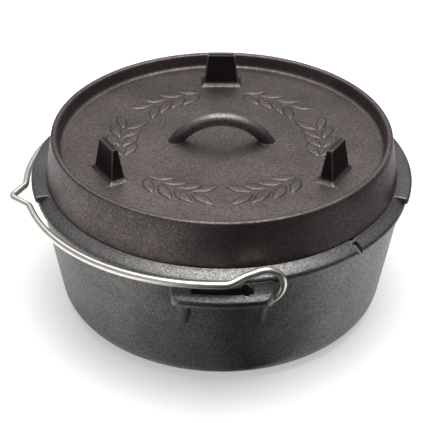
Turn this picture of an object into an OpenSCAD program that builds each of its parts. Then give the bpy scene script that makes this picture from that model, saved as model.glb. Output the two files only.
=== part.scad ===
// Camp dutch oven: a flat-bottomed cast pot, a cast lid that carries coals and stands on
// its own three feet when turned over, and a wire bail hooked into two lugs on the pot.
// Millimetres, Z up, the ground at z = 0, the pot's axis on Z and the front lug towards -Y.

/* [Pot] */
// Outer radius of the rim
rim_r = 132; // [122:1:150]
// Height of the seat that carries the lid
seat_z = 100; // [92:1:130]
// Outer radius of the wall, carried on down to the ground
base_r = 115; // [100:1:122]
// Rounding between the bottom and the wall
base_round = 17.5; // [8:0.5:22]
// Thickness of the bottom
floor_t = 5.5; // [4:0.5:8]
// Thickness of the wall near the bottom
wall_t = 5; // [4:0.5:7]
// Width of the seat under the lid's skirt
seat_w = 3.6; // [2.5:0.1:5]
// Height over which the wall thickens below the mouth
mouth_bead = 14; // [8:1:24]

/* [Rim] */
// How far the rim stands out from the wall
rim_step = 2.8; // [1.5:0.1:5]
// Height of the rim's upright outer band
band_h = 3.7; // [2.5:0.1:6]
// Width of the rim's slope, outside the lid
slope_w = 8; // [6:0.5:12]
// Fall of the rim's slope
slope_drop = 4.8; // [3:0.1:6]
// Width of the notch that lets a probe cable out under the lid
notch_w = 5; // [3:0.5:7]
// Bearing of that notch, anticlockwise from +X
notch_bearing = 313; // [295:1:335]

/* [Ears] */
// How far the two lifting ears stand out past the rim
ear_out = 2.3; // [1:0.1:5]
// Angle that each ear spans round the rim
ear_span = 37; // [20:1:50]
// Thickness of an ear
ear_t = 5; // [4:0.5:8]
// Rounding of an ear's outer edge
ear_round = 2; // [0.5:0.1:2.4]

/* [Lugs] */
// Width of a bail lug
lug_w = 66; // [60:1:80]
// Depth of a lug's top below the seat
lug_below = 13; // [11:0.5:16]
// Thickness of a lug
lug_t = 7.4; // [6:0.2:9]
// Rounding of a lug's corners seen from above
lug_corner = 7; // [3:0.5:9]
// Rounding of a lug's upper front edge
lug_edge = 1.4; // [0.5:0.1:2]
// Rounding of a lug's lower front edge
lug_under = 3; // [1:0.1:3.4]
// Width of the slot between a lug's bar and the wall
slot_w = 41; // [38:1:46]
// Thickness of the bar in front of that slot
bar_t = 7.1; // [5.5:0.1:9]
// Thickness of the two ribs under a lug
rib_d = 8.6; // [6:0.2:10]
// Distance from the middle of a lug to the middle of each rib
rib_x = 24.7; // [23:0.1:27]
// How far the ribs reach down the wall below a lug
rib_drop = 25.2; // [18:0.2:34]

/* [Lid] */
// Height of the lid from the seat to its raised rim
lid_h = 30.8; // [26:0.2:40]
// How far the lid's skirt leans in over that height
lid_lean = 5.4; // [2:0.2:9]
// Width of the raised rim's top
coal_rim_w = 4; // [3:0.2:7]
// Depth of the coal tray inside the raised rim
tray_depth = 10.3; // [6:0.1:14]
// Thickness of the lid's plate
plate_t = 4.5; // [3.5:0.5:7]
// Depth of the lip that centres the lid in the mouth
lip_h = 4.5; // [2:0.5:7]
// Thickness of that lip
lip_t = 3.5; // [2.5:0.5:6]
// Clearance round that lip
lip_gap = 0.8; // [0.4:0.1:1.5]

/* [Lid handle] */
// Distance between the places where the handle's middle line meets the plate
handle_span = 64; // [50:1:90]
// Height of the handle's middle line over the plate
handle_rise = 17.6; // [15:0.2:22]
// Thickness of the handle
handle_d = 9.6; // [7:0.2:13]

/* [Lid feet] */
// Distance of the middle of the feet from the axis
foot_r = 87.2; // [60:0.2:92]
// Height of the feet over the plate
foot_h = 23.5; // [23:0.5:30]
// Width of a foot at the plate, along the rim
foot_w = 26; // [16:0.2:32]
// Width of a foot at its top
foot_top_w = 20; // [10:0.5:24]
// Depth of a foot at the plate, across the rim
foot_d = 10.4; // [8:0.2:14]
// Depth of a foot at its top
foot_top_d = 4.2; // [3:0.2:8]

/* [Bail] */
// Thickness of the wire
wire_d = 5; // [4:0.1:5.6]
// Radius of the hooks, to the middle of the wire
hook_r = 12; // [11.6:0.1:13]
// Distance of a hook's middle from the middle of its lug
hook_x = 26.5; // [26:0.1:27.5]
// Height of the hooks' middle over the top of the lugs
hook_rise = 5.4; // [5:0.1:7]
// Clearance round a hook in its eye
eye_gap = 0.5; // [0.3:0.1:0.6]
// Clearance between a hook and the rim
hook_gap = 0.6; // [0.4:0.1:2]
// Gap between the bail and the ears
bail_gap = 1.7; // [0.8:0.1:4]
// Height of the bail's front run over the middle of its hooks
bail_lift = 5.5; // [3:0.5:7]
// How far the hanging kink stands out from the rest of the bail
kink_out = 10.6; // [8:0.2:16]
// Width of the kink where it leaves the bail
kink_w = 30; // [24:1:44]

/* [Hidden] */
$fn = 96;

iron = [0.16, 0.15, 0.145];
lid_iron = [0.24, 0.225, 0.215];
steel = [0.82, 0.81, 0.79];

// How far solids of one casting run into each other
weld = 2;

// Heights and radii of the pot
band_top_z = seat_z - slope_drop;
band_low_z = band_top_z - band_h;
wall_top_r = rim_r - rim_step;
wall_lean = (wall_top_r - base_r) / band_low_z;
mouth_depth = lip_h + 2 * lip_gap;
skirt_r = rim_r - slope_w;
mouth_r = skirt_r - seat_w;
mouth_z = seat_z - mouth_depth;
floor_r = wall_r(floor_t) - wall_t;
bead_z = mouth_z - mouth_bead;
slope_tilt = atan(slope_drop / slope_w);
ear_r = rim_r + ear_out;

// The bail hinges on a level line through the pot's axis and the middle of both hooks.
// In the bail's own frame X points to the kink and Y along that line to the front hook.
wire_r = wire_d / 2;
eye_r = wire_r + eye_gap;
collar_r = 1.02 * wire_r;
collar_l = 0.3 * wire_r;
collar_gap = 0.02 * wire_r;
hook_reach = sqrt(pow(rim_r + hook_gap + wire_r, 2) - pow(hook_r, 2));
hook_y = sqrt(pow(hook_reach, 2) - pow(hook_x, 2));
hinge_turn = 180 + atan(hook_x / hook_y);
hinge_z = seat_z - lug_below + hook_rise;

// Heights and radii of the lugs, whose slots let the hooks through beside an eye in the bar
slot_front_r = hook_y + eye_r;
slot_corner = 3;
lug_r = slot_front_r + bar_t;
lug_top_z = seat_z - lug_below;
lug_low_z = lug_top_z - lug_t;
rib_web = 0.9 * rib_d;

// Heights and radii of the lid
lid_top_z = seat_z + lid_h;
lid_top_r = skirt_r - lid_lean;
tray_z = lid_top_z - tray_depth;
plate_low_z = tray_z - plate_t;
coal_rim_in = lid_top_r - coal_rim_w;
tray_flare = 1.2;
lip_r = mouth_r - lip_gap;
lip_in = lip_r - lip_t;
hollow_draft = 1.5;
rim_round = 1.8;
tray_round = 3;
hollow_round = 4;
skirt_round = 1;

// The handle's middle line is an arc over the span
handle_arc_r = (pow(handle_span / 2, 2) + pow(handle_rise, 2)) / (2 * handle_rise);
handle_arc_z = tray_z + handle_rise - handle_arc_r;

bail_r = ear_r + bail_gap + wire_r;

// Angles round the hook where it leaves the bail's lead and where it ends inside the slot
hook_lead_angle = 74;
hook_end_angle = 305;
lead_l = 10;

// The bail's run, from the kink's tip to the hook, with a bend's radius at each corner
shoulder_angle = 1.5;
run_start_angle = 2 * asin(kink_w / 4 / bail_r) + shoulder_angle;
run_end_angle = 78.5;
run_mid_angle = (run_start_angle + run_end_angle) / 2;
run_mid_r = bail_r / cos(run_end_angle - run_mid_angle);
tip_bend = 5;
shoulder_bend = 8;
rise_bend = 14;
lead_bend = 12;
shoulder_l = 4;
rise_l = 4.5;

function unit(v) = v / norm(v);
function wall_r(z) = base_r + wall_lean * z;
function on_run(r, a) = [r * cos(a), r * sin(a), bail_lift * sin(a)];
function along_run(a) = unit([-sin(a), cos(a), bail_lift / bail_r * cos(a)]);
function on_hook(a) = [hook_r * cos(a), hook_reach, hook_r * sin(a)];

half_run = [
    [bail_r + kink_out, 0, 0],
    on_run(bail_r, run_start_angle) - shoulder_l * along_run(run_start_angle),
    on_run(run_mid_r, run_mid_angle),
    on_run(bail_r, run_end_angle) + rise_l * along_run(run_end_angle),
    on_hook(hook_lead_angle) + lead_l * [sin(hook_lead_angle), 0, -cos(hook_lead_angle)],
    on_hook(hook_lead_angle)
];
other_half = [for (i = [len(half_run) - 1 : -1 : 1]) [half_run[i].x, -half_run[i].y, -half_run[i].z]];
half_bends = [tip_bend, shoulder_bend, bail_r, rise_bend, lead_bend, 0];
other_bends = [for (i = [len(half_bends) - 1 : -1 : 1]) half_bends[i]];

// Rounds off the corner p of a flat shape, between the directions to a and b
module rounded(p, a, b, r) {
    along_a = unit(a - p);
    along_b = unit(b - p);
    half = acos(along_a * along_b) / 2;
    centre = p + unit(along_a + along_b) * r / sin(half);
    start = p + along_a * r / tan(half);
    end = p + along_b * r / tan(half);
    difference() {
        children();
        difference() {
            polygon([centre, 2 * start - centre, 2 * p - centre, 2 * end - centre]);
            translate(centre) circle(r);
        }
    }
}

// Fills the inner corner p of a flat shape, between the directions to a and b
module filled(p, a, b, r) {
    along_a = unit(a - p);
    along_b = unit(b - p);
    half = acos(along_a * along_b) / 2;
    centre = p + unit(along_a + along_b) * r / sin(half);
    start = p + along_a * r / tan(half);
    end = p + along_b * r / tan(half);
    children();
    difference() {
        polygon([1.2 * p - 0.2 * centre, start, centre, end]);
        translate(centre) circle(r);
    }
}

// A straight rod between two points
module rod(a, b, r) {
    side = unit(cross(unit(b - a), abs((b - a).z) > 0.9 * norm(b - a) ? [1, 0, 0] : [0, 0, 1]));
    ahead = unit(b - a);
    up = cross(ahead, side);
    multmatrix([
        [side.x, up.x, ahead.x, a.x],
        [side.y, up.y, ahead.y, a.y],
        [side.z, up.z, ahead.z, a.z],
        [0, 0, 0, 1]
    ]) cylinder(r = r, h = norm(b - a));
}

// A round bend that starts at a point, along one direction, and turns into another
module bend(start, before, after, bend_r, r) {
    axis = unit(cross(before, after));
    inward = cross(axis, before);
    centre = start + bend_r * inward;
    multmatrix([
        [-inward.x, before.x, axis.x, centre.x],
        [-inward.y, before.y, axis.y, centre.y],
        [-inward.z, before.z, axis.z, centre.z],
        [0, 0, 0, 1]
    ]) rotate_extrude(angle = acos(before * after)) translate([bend_r, 0]) circle(r);
}

// A wire along a run of corners, each with its bend's radius. Its straight stretches stop
// just short of its bends, and a short collar of nearly the wire's own size joins them.
module wire(points, bends, r) {
    last = len(points) - 1;
    ahead = [for (i = [0 : last - 1]) unit(points[i + 1] - points[i])];
    turn = [for (i = [0 : last]) i == 0 || i == last ? 0 : acos(ahead[i - 1] * ahead[i])];
    setback = [for (i = [0 : last]) bends[i] * tan(turn[i] / 2)];
    for (i = [0 : last - 1]) {
        start = points[i] + setback[i] * ahead[i];
        end = points[i + 1] - setback[i + 1] * ahead[i];
        rod(start + collar_gap * ahead[i], end - collar_gap * ahead[i], r);
        rod(start - collar_l / 2 * ahead[i], start + collar_l / 2 * ahead[i], collar_r);
        rod(end - collar_l / 2 * ahead[i], end + collar_l / 2 * ahead[i], collar_r);
    }
    for (i = [1 : last - 1]) {
        bend(points[i] - setback[i] * ahead[i - 1], ahead[i - 1], ahead[i], bends[i], r);
    }
}

// A ring about the hinge line at the front hook, from one angle round to another
module hook_ring(from, to, r) {
    translate([0, hook_reach, 0]) rotate([90, 0, 0]) rotate([0, 0, from])
        rotate_extrude(angle = to - from) translate([hook_r, 0]) circle(r);
}

// Outline of the pot outside, from the axis to the wall
module pot_outline() {
    corner = [base_r, 0];
    wall_top = [wall_top_r, band_low_z];
    rounded(corner, [0, 0], wall_top, base_round)
        polygon([
            [0, 0],
            corner,
            wall_top,
            [rim_r, band_low_z],
            [rim_r, band_top_z],
            [skirt_r, seat_z],
            [0, seat_z]
        ]);
}

// Outline of the space inside the pot
module cavity_outline() {
    corner = [floor_r, floor_t];
    wall_top = [wall_r(bead_z) - wall_t, bead_z];
    rounded(corner, [0, floor_t], wall_top, base_round - wall_t)
        polygon([
            [0, floor_t],
            corner,
            wall_top,
            [mouth_r, mouth_z],
            [mouth_r, seat_z + weld],
            [0, seat_z + weld]
        ]);
}

// Section of a lifting ear, level with the seat
module ear_outline() {
    top = [ear_r, seat_z];
    low = [ear_r, seat_z - ear_t];
    rounded(top, [0, seat_z], low, ear_round)
        rounded(low, top, [0, seat_z - ear_t], ear_round)
            polygon([[mouth_r + weld / 2, seat_z], top, low, [mouth_r + weld / 2, seat_z - ear_t]]);
}

module ear() {
    rotate([0, 0, -ear_span / 2]) rotate_extrude(angle = ear_span) ear_outline();
}

// Section of a lug through its middle, from inside the wall to its front edge
module lug_outline() {
    top = [lug_r, lug_top_z];
    low = [lug_r, lug_low_z];
    inside = wall_r(lug_low_z) - weld;
    rounded(top, [0, lug_top_z], low, lug_edge)
        rounded(low, top, [0, lug_low_z], lug_under)
            polygon([[inside, lug_top_z], top, low, [inside, lug_low_z]]);
}

// A lug's shape seen from above, with its front towards +Y
module lug_plan() {
    side_y = sqrt(pow(lug_r, 2) - pow(lug_w / 2, 2));
    across = [side_y, lug_w / 2] / lug_r;
    right = [lug_w / 2, side_y];
    left = [-lug_w / 2, side_y];
    rounded(right, [lug_w / 2, 0], right + [-across.x, across.y], lug_corner)
        rounded(left, [-lug_w / 2, 0], left + across, lug_corner)
            intersection() {
                circle(lug_r);
                translate([-lug_w / 2, 0]) square([lug_w, lug_r]);
            }
}

// The slot behind a lug's bar, carried on into the wall
module slot_plan() {
    front_y = sqrt(pow(slot_front_r, 2) - pow(slot_w / 2, 2));
    right = [slot_w / 2, front_y];
    left = [-slot_w / 2, front_y];
    rounded(right, [slot_w / 2, 0], left, slot_corner)
        rounded(left, [-slot_w / 2, 0], right, slot_corner)
            intersection() {
                circle(slot_front_r);
                translate([-slot_w / 2, 0]) square([slot_w, slot_front_r]);
            }
}

// A rib that props a lug from below: a web on the wall with a round front that runs out into it
module rib(x) {
    foot_z = lug_low_z - rib_drop;
    top = [x, lug_r - 3 * rib_d / 4, lug_low_z + lug_t / 3];
    foot = [x, sqrt(pow(wall_r(foot_z), 2) - x * x) - rib_d / 2, foot_z];
    rod(top, foot, rib_d / 2);
    translate([x - rib_web / 2, 0, 0]) rotate([90, 0, 90]) linear_extrude(rib_web)
        polygon([[top.y, top.z], [foot.y, foot.z], [foot.y, top.z]]);
}

// A lug, its two ribs and the eye for the hook, with its front towards +Y
module lug() {
    difference() {
        union() {
            intersection() {
                rotate_extrude() lug_outline();
                linear_extrude(lug_top_z + weld) lug_plan();
            }
            rib(rib_x);
            rib(-rib_x);
        }
        translate([0, 0, lug_low_z - weld]) linear_extrude(lug_t + 2 * weld) slot_plan();
        translate([0, 0, hinge_z]) rotate([0, 0, hinge_turn - 180]) hook_ring(0, 360, eye_r);
    }
}

// The notch crosses the seat level and then follows the rim's slope down
module probe_notch() {
    rotate([0, 0, notch_bearing]) {
        translate([mouth_r - weld, 0, seat_z]) rotate([0, 90, 0]) cylinder(d = notch_w, h = seat_w + 2 * weld);
        translate([skirt_r, 0, seat_z - notch_w / 5]) rotate([0, 90 + slope_tilt, 0])
            cylinder(d = notch_w, h = 2 * slope_w);
    }
}

module pot() {
    color(iron) difference() {
        union() {
            rotate_extrude() pot_outline();
            for (turn = [0, 180]) {
                rotate([0, 0, turn]) ear();
                rotate([0, 0, turn]) lug();
            }
        }
        rotate_extrude() cavity_outline();
        probe_notch();
    }
}

// Section of the lid: plate, raised rim, skirt and lip
module lid_outline() {
    tray_corner = [coal_rim_in - tray_flare, tray_z];
    rim_in = [coal_rim_in, lid_top_z];
    rim_out = [lid_top_r, lid_top_z];
    skirt_low = [skirt_r, seat_z];
    hollow_corner = [lip_in - hollow_draft, plate_low_z];
    lip_low = [lip_in, seat_z - lip_h];
    rounded(rim_in, tray_corner, rim_out, rim_round)
        rounded(rim_out, rim_in, skirt_low, rim_round)
            rounded(skirt_low, rim_out, [lip_r, seat_z], skirt_round)
                filled(tray_corner, [0, tray_z], rim_in, tray_round)
                    filled(hollow_corner, [0, plate_low_z], lip_low, hollow_round)
                        polygon([
                            [0, tray_z],
                            tray_corner,
                            rim_in,
                            rim_out,
                            skirt_low,
                            [lip_r, seat_z],
                            [lip_r, seat_z - lip_h],
                            lip_low,
                            hollow_corner,
                            [0, plate_low_z]
                        ]);
}

// The arched handle, its ends let into the plate
module lid_handle() {
    intersection() {
        translate([0, 0, handle_arc_z]) rotate([90, 0, 0]) rotate_extrude(angle = 180)
            translate([handle_arc_r, 0]) circle(d = handle_d);
        translate([-handle_span, -handle_d, tray_z - plate_t / 2])
            cube([2 * handle_span, 2 * handle_d, handle_rise + handle_d + plate_t]);
    }
}

// A tapered foot on +X, let into the plate
module lid_foot() {
    low = tray_z - plate_t / 2;
    top = tray_z + foot_h;
    grown = 1 + plate_t / 2 / foot_h;
    low_d = foot_top_d + (foot_d - foot_top_d) * grown;
    low_w = foot_top_w + (foot_w - foot_top_w) * grown;
    intersection() {
        translate([foot_r, foot_w, 0]) rotate([90, 0, 0]) linear_extrude(2 * foot_w)
            polygon([[-low_d / 2, low], [low_d / 2, low], [foot_top_d / 2, top], [-foot_top_d / 2, top]]);
        rotate([90, 0, 90]) linear_extrude(foot_r + foot_d)
            polygon([[-low_w / 2, low], [low_w / 2, low], [foot_top_w / 2, top], [-foot_top_w / 2, top]]);
    }
}

module lid() {
    color(lid_iron) {
        rotate_extrude() lid_outline();
        lid_handle();
        for (bearing = [90, 210, 330]) rotate([0, 0, bearing]) lid_foot();
    }
}

module bail() {
    color(steel) translate([0, 0, hinge_z]) rotate([0, 0, hinge_turn]) {
        wire(concat(other_half, half_run), concat(other_bends, half_bends), wire_r);
        hook_ring(hook_lead_angle, hook_end_angle, wire_r);
        rotate([180, 0, 0]) hook_ring(hook_lead_angle, hook_end_angle, wire_r);
    }
}

pot();
lid();
bail();
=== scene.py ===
"""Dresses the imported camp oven: a cast pot, a cast lid that carries coals, and a wire bail."""

import logging
import math
from dataclasses import dataclass
from enum import Enum
from itertools import product
from typing import Callable, Sequence

import bmesh
import bpy
from bmesh.types import BMEdge, BMesh, BMFace, BMVert
from bpy.types import ID, Material, NodeSocket, Object
from mathutils import Matrix, Quaternion, Vector


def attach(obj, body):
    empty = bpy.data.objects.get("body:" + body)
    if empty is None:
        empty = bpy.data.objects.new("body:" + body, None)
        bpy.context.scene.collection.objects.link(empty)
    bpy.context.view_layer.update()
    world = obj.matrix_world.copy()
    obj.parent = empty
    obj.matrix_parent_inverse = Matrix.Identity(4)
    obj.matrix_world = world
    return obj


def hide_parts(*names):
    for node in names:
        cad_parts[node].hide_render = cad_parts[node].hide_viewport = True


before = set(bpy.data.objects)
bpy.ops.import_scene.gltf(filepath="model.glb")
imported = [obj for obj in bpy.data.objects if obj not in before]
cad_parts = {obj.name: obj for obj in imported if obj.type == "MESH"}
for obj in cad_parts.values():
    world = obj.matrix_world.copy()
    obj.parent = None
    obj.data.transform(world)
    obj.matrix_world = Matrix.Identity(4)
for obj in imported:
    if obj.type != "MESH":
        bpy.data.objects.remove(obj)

Triple = tuple[float, float, float]
Geometry = Sequence[BMVert | BMEdge | BMFace]
LOG = logging.getLogger("camp_oven")
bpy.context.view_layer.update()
MM = 0.001
WELD = 1e-6
FULL_TURN = 2 * math.pi
X_AXIS, Y_AXIS, Z_AXIS = Vector((1, 0, 0)), Vector((0, 1, 0)), Vector((0, 0, 1))


class Blend(Enum):
    """How one solid is worked into another."""

    JOIN = "UNION"
    CUT = "DIFFERENCE"
    MEET = "INTERSECT"


@dataclass(frozen=True)
class Corner:
    """One corner of a section, in mm, with the radius that rounds it."""

    across: float
    up: float
    radius: float = 0.0
    segments: int = 4


def mm(x: float, y: float, z: float) -> Vector:
    """Returns a point in metres from millimetres."""
    return Vector((x, y, z)) * MM


def about(axis: Vector, degrees: float) -> Matrix:
    """Returns a turn about an axis through the origin."""
    return Matrix.Rotation(math.radians(degrees), 4, axis)


def shift(x: float, y: float, z: float) -> Matrix:
    """Returns a move by millimetres."""
    return Matrix.Translation(mm(x, y, z))


def facing(way: Vector) -> Matrix:
    """Returns the turn that points Z another way."""
    return Z_AXIS.rotation_difference(way).to_matrix().to_4x4()


def faded(value: float, start: float, over: float) -> float:
    """Returns 0 up to a start and 1 from some way over it, with an even rise between."""
    return max(0.0, min(1.0, (value - start) / over))


def verts_of(geom: Geometry) -> list[BMVert]:
    """Returns the points among what an operator made."""
    return [g for g in geom if isinstance(g, BMVert)]


def edges_of(geom: Geometry) -> list[BMEdge]:
    """Returns the edges among what an operator made."""
    return [g for g in geom if isinstance(g, BMEdge)]


def ease(bm: BMesh, geom: Geometry, width: float, segments: int, affect: str = "EDGES") -> None:
    """Rounds edges off, or the corners of a wire.

    Args:
        bm: The mesh that they are in.
        geom: The edges or corners.
        width: How far the rounding reaches along the sides, in mm.
        segments: How many facets it has.
        affect: EDGES or VERTICES.
    """
    bmesh.ops.bevel(
        bm,
        geom=geom,
        offset=width * MM,
        offset_type="OFFSET",
        segments=segments,
        profile=0.5,
        affect=affect,
        material=-1,
        clamp_overlap=False,
    )


def rod(bm: BMesh, radii: tuple[float, float], length: float, segments: int, place: Matrix) -> None:
    """Adds a closed round bar along Z, tapered or straight.

    Args:
        bm: The mesh that gets it.
        radii: Its radius at the lower and the upper end, in mm.
        length: Its length, in mm.
        segments: How many facets go round it.
        place: Where its middle is and which way it points.
    """
    low, high = (r * MM for r in radii)
    depth = length * MM
    bmesh.ops.create_cone(
        bm, cap_ends=True, segments=segments, radius1=low, radius2=high, depth=depth, matrix=place
    )


def section_wire(bm: BMesh, corners: Sequence[Corner], closed: bool, stretch: float) -> None:
    """Draws a section as a wire in the XZ plane, rounds its corners and divides its long edges.

    Args:
        bm: The mesh that gets the wire.
        corners: The section's corners in order.
        closed: Whether the last corner joins the first.
        stretch: The longest edge that is left, in mm.
    """
    verts = [bm.verts.new(mm(c.across, 0, c.up)) for c in corners]
    pairs = list(zip(verts, verts[1:]))
    if closed:
        pairs.append((verts[-1], verts[0]))
    for pair in pairs:
        bm.edges.new(pair)
    places = [Vector((c.across, c.up)) for c in corners]
    for i, corner in enumerate(corners):
        if not corner.radius:
            continue
        back = (places[i - 1] - places[i]).normalized()
        on = (places[(i + 1) % len(places)] - places[i]).normalized()
        half = back.angle(on) / 2
        ease(bm, [verts[i]], corner.radius / math.tan(half), corner.segments, "VERTICES")
    for edge in bm.edges[:]:
        cuts = int(edge.calc_length() / (stretch * MM))
        if cuts:
            bmesh.ops.subdivide_edges(bm, edges=[edge], cuts=cuts)


def spun(bm: BMesh, axis: Vector, angle: float, steps: int) -> None:
    """Spins a whole wire about an axis through the origin, and closes it after a full turn.

    Args:
        bm: The wire.
        axis: The axis.
        angle: How far it turns, in radians.
        steps: How many facets go along the turn.
    """
    geom = [*bm.verts, *bm.edges]
    closes = angle == FULL_TURN
    bmesh.ops.spin(bm, geom=geom, cent=(0, 0, 0), axis=axis, angle=angle, steps=steps, use_merge=closes)


def turned(corners: Sequence[Corner], steps: int) -> BMesh:
    """Turns an open section, which starts and ends on the axis, into a solid.

    Args:
        corners: The section's corners, from the axis round and back to it.
        steps: How many facets go round.

    Returns:
        The closed solid.
    """
    bm = bmesh.new()
    section_wire(bm, corners, closed=False, stretch=4.0)
    spun(bm, Z_AXIS, FULL_TURN, steps)
    return bm


def swept(corners: Sequence[Corner], middle: float, span: float, steps: int) -> BMesh:
    """Sweeps a closed section part of the way round the Z axis and closes both ends.

    Args:
        corners: The section's corners in order.
        middle: Bearing of the sweep's middle, in degrees.
        span: Angle that is swept, in degrees.
        steps: How many facets go along the sweep.

    Returns:
        The closed solid.
    """
    bm = bmesh.new()
    section_wire(bm, corners, closed=True, stretch=6.0)
    bmesh.ops.rotate(bm, verts=bm.verts, cent=(0, 0, 0), matrix=about(Z_AXIS, middle - span / 2))
    spun(bm, Z_AXIS, math.radians(span), steps)
    bmesh.ops.holes_fill(bm, edges=[e for e in bm.edges if e.is_boundary], sides=0)
    bmesh.ops.recalc_face_normals(bm, faces=bm.faces)
    return bm


def linked(name: str, data: ID) -> Object:
    """Makes an object and puts it in the scene.

    Args:
        name: The object's name.
        data: Its mesh, lamp or camera.

    Returns:
        The new object.
    """
    made = bpy.data.objects.new(name, data)
    bpy.context.scene.collection.objects.link(made)
    return made


def solid_object(bm: BMesh, name: str) -> Object:
    """Makes a linked object of a finished bmesh, with its faces outward.

    Args:
        bm: The mesh, which is freed.
        name: The object's name.

    Returns:
        The new object.
    """
    bmesh.ops.remove_doubles(bm, verts=bm.verts, dist=WELD)
    bmesh.ops.recalc_face_normals(bm, faces=bm.faces)
    mesh = bpy.data.meshes.new(name)
    bm.to_mesh(mesh)
    bm.free()
    return linked(name, mesh)


def settle(obj: Object) -> None:
    """Applies an object's modifiers to its mesh.

    Args:
        obj: The object.
    """
    graph = bpy.context.evaluated_depsgraph_get()
    mesh = bpy.data.meshes.new_from_object(obj.evaluated_get(graph))
    obj.modifiers.clear()
    old, obj.data = obj.data, mesh
    bpy.data.meshes.remove(old)


def work_in(base: Object, tool: Object, how: Blend) -> None:
    """Joins a tool to a base, cuts it out or keeps what they share, and removes the tool.

    Args:
        base: The solid that stays.
        tool: The solid that is used up.
        how: Which of these is done.
    """
    step = base.modifiers.new(how.name, "BOOLEAN")
    step.solver = "MANIFOLD"
    step.operation = how.value
    step.object = tool
    settle(base)
    bpy.data.objects.remove(tool)


def cast_together(base: Object, voxel: float, rounds: int) -> None:
    """Flows joined solids into one skin with the soft edges and fillets of a casting.

    Args:
        base: The joined solids.
        voxel: Fineness of the skin, in mm.
        rounds: How often the skin is smoothed.
    """
    skin = base.modifiers.new("skin", "REMESH")
    skin.mode = "VOXEL"
    skin.voxel_size = voxel * MM
    soft = base.modifiers.new("soft", "SMOOTH")
    soft.factor = 0.5
    soft.iterations = rounds
    settle(base)


def weld(obj: Object) -> None:
    """Closes the hairline seams that joining leaves and drops slivers that are folded onto themselves.

    Args:
        obj: The joined object.
    """
    hair = 0.002 * MM
    bm = bmesh.new()
    bm.from_mesh(obj.data)
    bmesh.ops.remove_doubles(bm, verts=bm.verts, dist=hair)
    bmesh.ops.dissolve_degenerate(bm, edges=bm.edges, dist=hair)
    bmesh.ops.triangulate(bm, faces=bm.faces)
    same: dict[frozenset[BMVert], list[BMFace]] = {}
    for face in bm.faces:
        same.setdefault(frozenset(face.verts), []).append(face)
    folded = [face for faces in same.values() if len(faces) > 1 for face in faces]
    bmesh.ops.delete(bm, geom=folded, context="FACES")
    bm.to_mesh(obj.data)
    bm.free()


def copy_turned(obj: Object, degrees: float) -> Object:
    """Copies an object and turns the copy's mesh about Z.

    Args:
        obj: The object.
        degrees: How far the copy is turned.

    Returns:
        The copy.
    """
    twin = linked(obj.name + "_twin", obj.data.copy())
    twin.data.transform(about(Z_AXIS, degrees))
    return twin


def shade(obj: Object, crease: float) -> None:
    """Shades an object smooth, apart from edges sharper than an angle in degrees."""
    obj.data.shade_smooth()
    obj.data.set_sharp_from_angle(angle=math.radians(crease))


def mark_wear_and_painted_light(obj: Object, rubbed_or_painted_light: Callable[[Vector], float]) -> None:
    """Stores at each point how far the coat is rubbed off, on proud edges and where hands or the lid rub,
    together with the painted reflection and painted shade that the given function adds.

    Args:
        obj: The casting.
        rubbed_or_painted_light: Gives the rubbing or painted reflection at a place, up to 1, or down to -1 for
            painted shade.
    """
    flat, sharp, most = 90.0, 350.0, 900.0
    bm = bmesh.new()
    bm.from_mesh(obj.data)
    bm.normal_update()
    wear_and_painted_light = bm.verts.layers.float.new("wear_and_painted_light")
    for vert in bm.verts:
        bends = [0.0]
        for edge in vert.link_edges:
            away = vert.co - edge.other_vert(vert).co
            bends.append(max(-most, min(most, vert.normal.dot(away) / max(away.length_squared, WELD**2))))
        proud = (sum(bends) / len(bends) - flat) / (sharp - flat)
        rubbing_or_painted = rubbed_or_painted_light(vert.co)
        vert[wear_and_painted_light] = min(1.0, max(proud, rubbing_or_painted)) if proud > 0 else rubbing_or_painted
    bm.to_mesh(obj.data)
    bm.free()


def capped_torus(ring_r: float, tube_r: float, start: float, span: float, steps: int, sides: int) -> BMesh:
    """Bends a round bar about the Y axis, in the plane of X and Z, and closes its ends.

    Args:
        ring_r: Radius of the bar's middle line, in mm.
        tube_r: Radius of the bar, in mm.
        start: Angle of its first end from +X towards +Z, in degrees.
        span: Angle that it goes on for, 360 for a closed ring.
        steps: How many facets go along it.
        sides: How many facets go round it.

    Returns:
        The closed bar about the origin.
    """
    bm = bmesh.new()
    place = about(Y_AXIS, -start) @ shift(ring_r, 0, 0)
    bmesh.ops.create_circle(bm, cap_ends=False, segments=sides, radius=tube_r * MM, matrix=place)
    spun(bm, -Y_AXIS, math.radians(span), steps)
    bmesh.ops.holes_fill(bm, edges=[e for e in bm.edges if e.is_boundary], sides=0)
    return bm


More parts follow.
